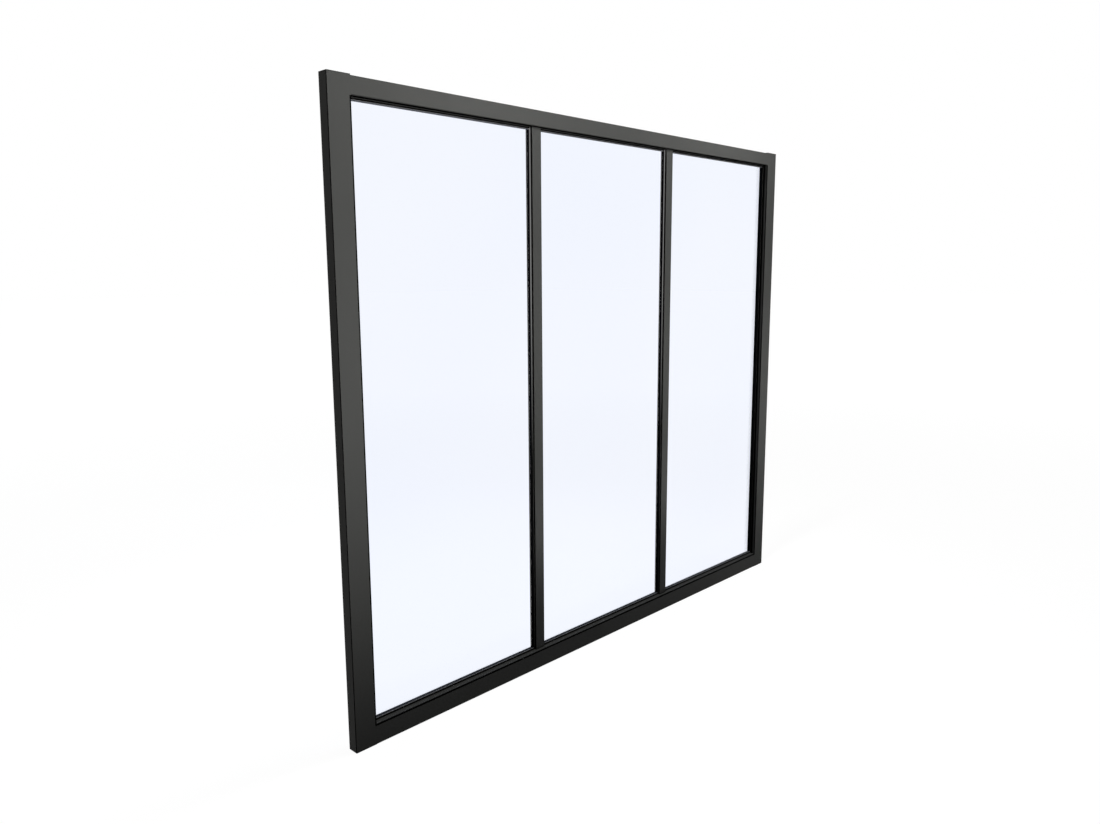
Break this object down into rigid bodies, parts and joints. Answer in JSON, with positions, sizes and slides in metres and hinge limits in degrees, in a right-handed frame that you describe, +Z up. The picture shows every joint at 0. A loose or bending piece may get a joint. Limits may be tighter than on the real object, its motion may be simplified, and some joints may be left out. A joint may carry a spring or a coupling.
{
  "type": "interior glass partition",
  "caption": "Fixed interior glass partition: a slim dark metal frame with upright glazing bars between tall clear panes, held by clip-in beads at the back.",
  "frame": {"origin": "middle of the underside of the bottom rail, halfway through the depth", "axes": "+X across the partition to the right as seen from the front, +Y from the front face to the beads at the back, +Z up"},
  "size_m": [1.26, 0.021, 1.05],
  "materials": {
    "frame": "satin",
    "bead": "satin",
    "end_cap": "matte",
    "gasket": "matte",
    "glass": "gloss"
  },
  "bodies": {
    "root": {"stile_left": "frame", "stile_right": "frame", "rail_bottom": "frame", "rail_top": "frame", "mullion_left": "frame", "mullion_right": "frame", "cap_left_bottom": "end_cap", "cap_right_bottom": "end_cap", "cap_left_top": "end_cap", "cap_right_top": "end_cap", "left_light_glass": "glass", "left_light_front_gasket": "gasket", "left_light_rear_gasket": "gasket", "left_light_bead_bottom": "bead", "left_light_bead_top": "bead", "left_light_bead_left": "bead", "left_light_bead_right": "bead", "centre_light_glass": "glass", "centre_light_front_gasket": "gasket", "centre_light_rear_gasket": "gasket", "centre_light_bead_bottom": "bead", "centre_light_bead_top": "bead", "centre_light_bead_left": "bead", "centre_light_bead_right": "bead", "right_light_glass": "glass", "right_light_front_gasket": "gasket", "right_light_rear_gasket": "gasket", "right_light_bead_bottom": "bead", "right_light_bead_top": "bead", "right_light_bead_left": "bead", "right_light_bead_right": "bead"}
  },
  "joints": []
}
